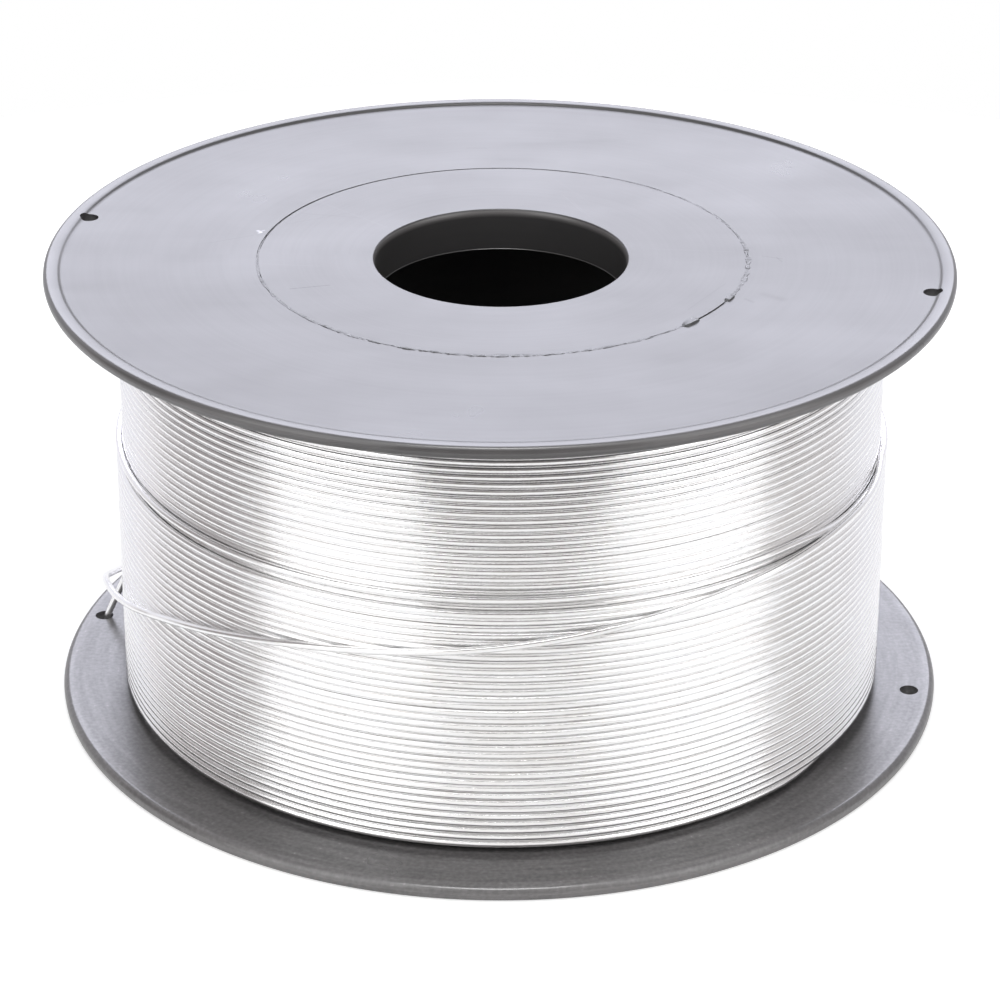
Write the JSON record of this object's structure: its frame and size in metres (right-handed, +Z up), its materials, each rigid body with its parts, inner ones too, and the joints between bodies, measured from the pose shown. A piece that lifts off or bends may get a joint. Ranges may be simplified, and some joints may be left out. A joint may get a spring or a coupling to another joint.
{
  "type": "solder wire reel",
  "caption": "Black moulded reel with two thin flanges and a central spindle bore, wound full of bright solder wire, its free end tied off through a flange hole.",
  "frame": {"origin": "middle of the base that the reel stands on, on the axis of its bore", "axes": "+Z up the reel's axis; the wire's free end is on the -X side"},
  "size_m": [0.1, 0.1, 0.0517],
  "materials": {
    "moulded_plastic": "satin, moulded",
    "weld_plastic": "rough where it has flowed, glossy in places",
    "solder_wire": "bright drawn tin alloy, faint draw marks"
  },
  "bodies": {
    "root": {"lower_flange": "moulded_plastic", "upper_flange": "moulded_plastic", "core_barrel": "moulded_plastic", "lower_hub_cap": "moulded_plastic", "upper_hub_cap": "moulded_plastic", "lower_weld_bead": "weld_plastic", "upper_weld_bead": "weld_plastic", "inner_wire_layers": "solder_wire", "outer_wire_layer": "solder_wire", "rising_turn": "solder_wire", "last_full_turn": "solder_wire", "crossing_wire_end": "solder_wire"}
  },
  "joints": []
}
